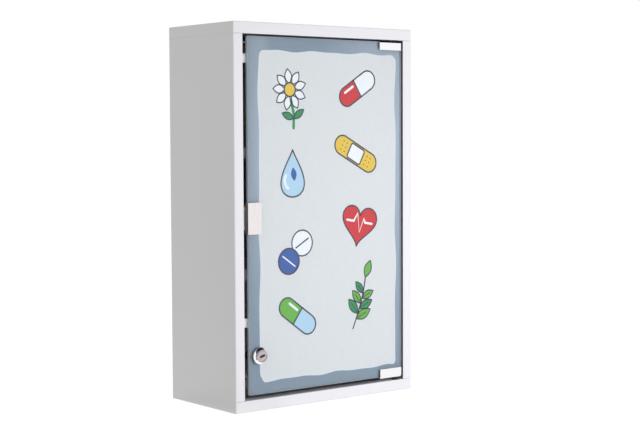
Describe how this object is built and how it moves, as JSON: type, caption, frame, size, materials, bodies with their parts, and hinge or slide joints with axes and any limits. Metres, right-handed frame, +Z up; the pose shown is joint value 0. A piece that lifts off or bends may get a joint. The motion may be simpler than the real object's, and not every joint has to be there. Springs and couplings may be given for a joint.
{
  "type": "glass door medical cabinet",
  "caption": "Slim white steel medicine wall cabinet with an inset printed glass door on pivot hinges, a magnetic catch with pull plate, a cam lock and shelves inside.",
  "frame": {"origin": "middle of the cabinet's underside", "axes": "+Z up, +Y towards the wall, so the door faces -Y and its hinges are on +X"},
  "size_m": [0.3, 0.1562, 0.5],
  "materials": {
    "white_paint": "white powder coat, satin",
    "clear_glass": "clear toughened float glass, polished edges",
    "frosted_film": "frosted film, printed from behind the glass",
    "chrome": "polished chrome plate",
    "satin_nickel": "satin nickel plate",
    "zinc": "bright zinc plate",
    "ferrite": "dull sintered ferrite",
    "white_plastic": "moulded, slight gloss",
    "black_plastic": "moulded, slight sheen",
    "black_rubber": "matte"
  },
  "bodies": {
    "carcass": {"left_side_panel": "white_paint", "right_side_panel": "white_paint", "top_panel": "white_paint", "bottom_panel": "white_paint", "back_panel": "white_paint", "bottom_left_front_screw": "zinc", "bottom_left_rear_screw": "zinc", "bottom_right_front_screw": "zinc", "bottom_right_rear_screw": "zinc", "top_left_front_screw": "zinc", "top_left_rear_screw": "zinc", "top_right_front_screw": "zinc", "top_right_rear_screw": "zinc", "back_rivet_left_lower": "zinc", "back_rivet_left_middle": "zinc", "back_rivet_left_upper": "zinc", "back_rivet_right_lower": "zinc", "back_rivet_right_middle": "zinc", "back_rivet_right_upper": "zinc", "lower_shelf": "white_paint", "lower_shelf_bracket_left": "white_paint", "lower_shelf_bracket_right": "white_paint", "upper_shelf": "white_paint", "upper_shelf_bracket_left": "white_paint", "upper_shelf_bracket_right": "white_paint", "upper_hinge_bush": "black_plastic", "lower_hinge_bush": "black_plastic", "catch_housing": "white_plastic", "catch_magnet": "ferrite", "catch_pole_left": "zinc", "catch_pole_right": "zinc", "catch_screw_lower": "zinc", "catch_screw_upper": "zinc", "lower_door_bumper": "white_plastic", "upper_door_bumper": "white_plastic"},
    "door": {"door_glass": "clear_glass", "printed_film": "frosted_film", "strike_plate": "satin_nickel", "strike_liner": "black_rubber", "upper_hinge_clamp": "chrome", "upper_hinge_liner": "black_rubber", "upper_hinge_set_screw_left": "zinc", "upper_hinge_set_screw_right": "zinc", "upper_hinge_pin": "zinc", "lower_hinge_clamp": "chrome", "lower_hinge_liner": "black_rubber", "lower_hinge_set_screw_left": "zinc", "lower_hinge_set_screw_right": "zinc", "lower_hinge_pin": "zinc", "lock_housing": "chrome", "lock_gasket": "black_rubber", "lock_nut": "black_plastic"},
    "lock_cylinder": {"lock_plug": "satin_nickel", "lock_wafer_1": "satin_nickel", "lock_wafer_2": "satin_nickel", "lock_wafer_3": "satin_nickel", "lock_wafer_4": "satin_nickel", "lock_cam": "zinc", "lock_cam_screw": "zinc"}
  },
  "joints": [
    {"name": "door_hinge", "type": "hinge", "parent": "carcass", "child": "door", "pos_m": [0.125, -0.07, 0.25], "axis": [0, 0, 1], "range_deg": [0, 110]},
    {"name": "lock_turn", "type": "hinge", "parent": "door", "child": "lock_cylinder", "pos_m": [-0.112, -0.065, 0.072], "axis": [0, 1, 0], "range_deg": [0, 90]}
  ]
}
